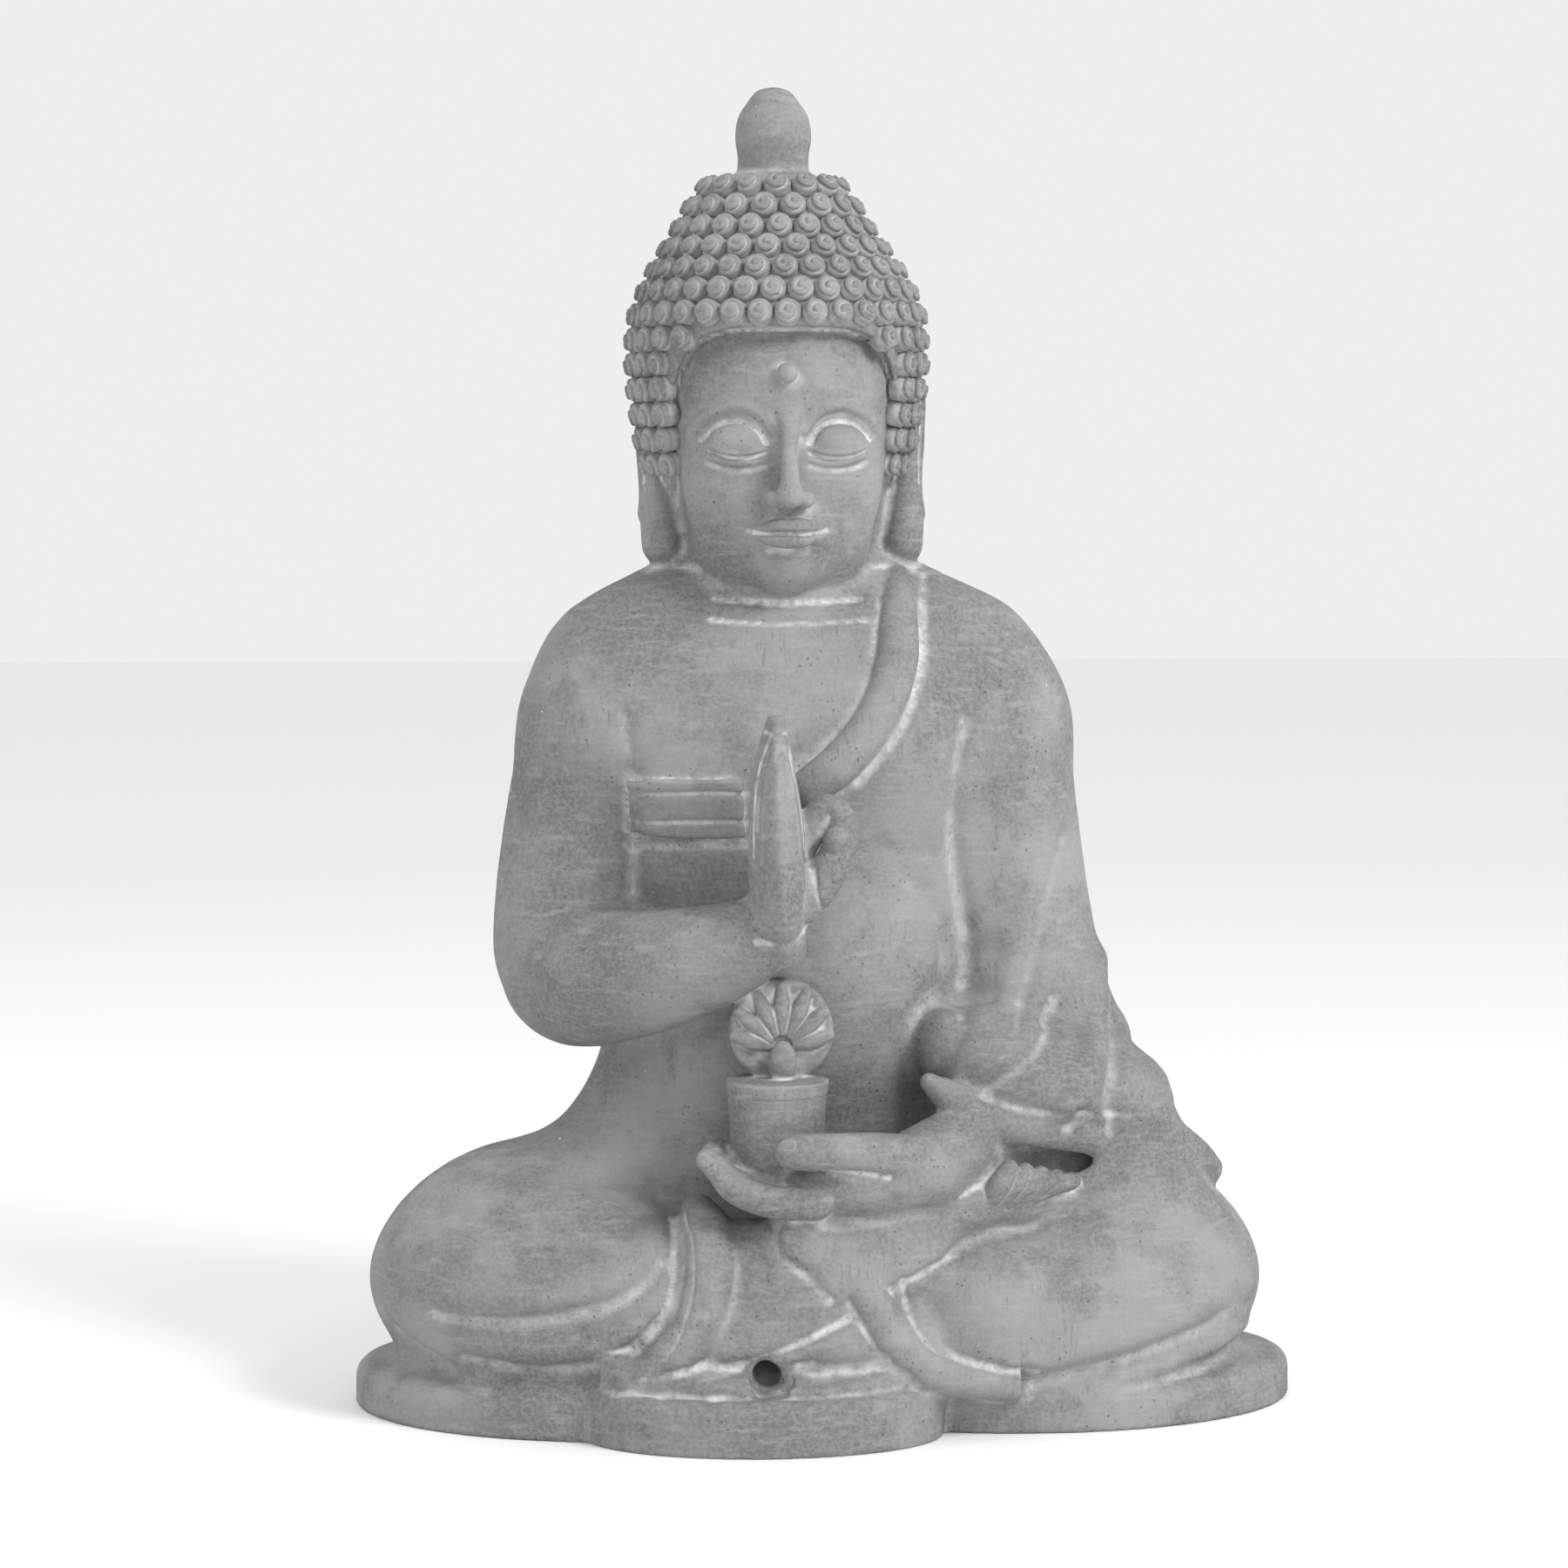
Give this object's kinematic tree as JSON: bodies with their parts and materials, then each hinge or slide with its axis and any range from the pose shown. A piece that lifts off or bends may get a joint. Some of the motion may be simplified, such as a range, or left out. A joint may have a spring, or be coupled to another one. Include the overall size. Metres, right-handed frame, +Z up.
{
  "type": "seated buddha garden statue",
  "caption": "Seated cross-legged buddha garden statue in hollow cast grey stone, right hand raised, left hand holding a jar with a blossom, on a flat lobed base.",
  "frame": {"origin": "centre of the bounding box's underside, on the surface that the base rests on", "axes": "+Z up, -Y the way the figure faces, +X towards the figure's left hand"},
  "size_m": [0.516, 0.308, 0.72],
  "materials": {
    "stone_body": "matt cast mineral cement, grey wash dry-brushed darker, pale in the creases, fine pores",
    "stone_carved": "matt cast mineral cement, dark tops and pale gaps between the carved curls",
    "stone_base": "matt cast mineral cement, brushed along the edge, with small pale chips"
  },
  "bodies": {
    "root": {"base_slab": "stone_base", "front_hem_lobe": "stone_base", "hem_pleat_right": "stone_base", "hem_pleat_left": "stone_base", "lap_body": "stone_body", "right_thigh_drape": "stone_body", "left_thigh_drape": "stone_body", "right_leg_hem": "stone_body", "left_leg_hem": "stone_body", "right_shin": "stone_body", "left_shin": "stone_body", "right_foot": "stone_body", "right_foot_toes": "stone_body", "torso": "stone_body", "neck": "stone_body", "robe_collar_band": "stone_body", "chest_wrap_band": "stone_body", "right_upper_arm": "stone_body", "right_forearm": "stone_body", "right_hand": "stone_body", "right_hand_fingers": "stone_body", "right_thumb_and_index": "stone_body", "left_sleeve": "stone_body", "left_sleeve_hem": "stone_body", "left_forearm": "stone_body", "left_palm": "stone_body", "left_fingers": "stone_body", "left_thumb": "stone_body", "offering_jar": "stone_carved", "jar_rim": "stone_carved", "blossom_disc": "stone_carved", "blossom_petals": "stone_carved", "blossom_bud": "stone_carved", "head": "stone_body", "forehead_dot": "stone_body", "right_ear": "stone_body", "left_ear": "stone_body", "hair_cap": "stone_carved", "crown_finial": "stone_carved", "hair_curls_tier_01": "stone_carved", "hair_curls_tier_02": "stone_carved", "hair_curls_tier_03": "stone_carved", "hair_curls_tier_04": "stone_carved", "hair_curls_tier_05": "stone_carved", "hair_curls_tier_06": "stone_carved", "hair_curls_tier_07": "stone_carved", "hair_curls_tier_08": "stone_carved", "hair_curls_tier_09": "stone_carved", "hair_curls_tier_10": "stone_carved", "hair_curls_tier_11": "stone_carved", "hair_curls_tier_12": "stone_carved", "hair_curls_tier_13": "stone_carved", "hair_curls_tier_14": "stone_carved", "hair_curls_tier_15": "stone_carved"}
  },
  "joints": []
}
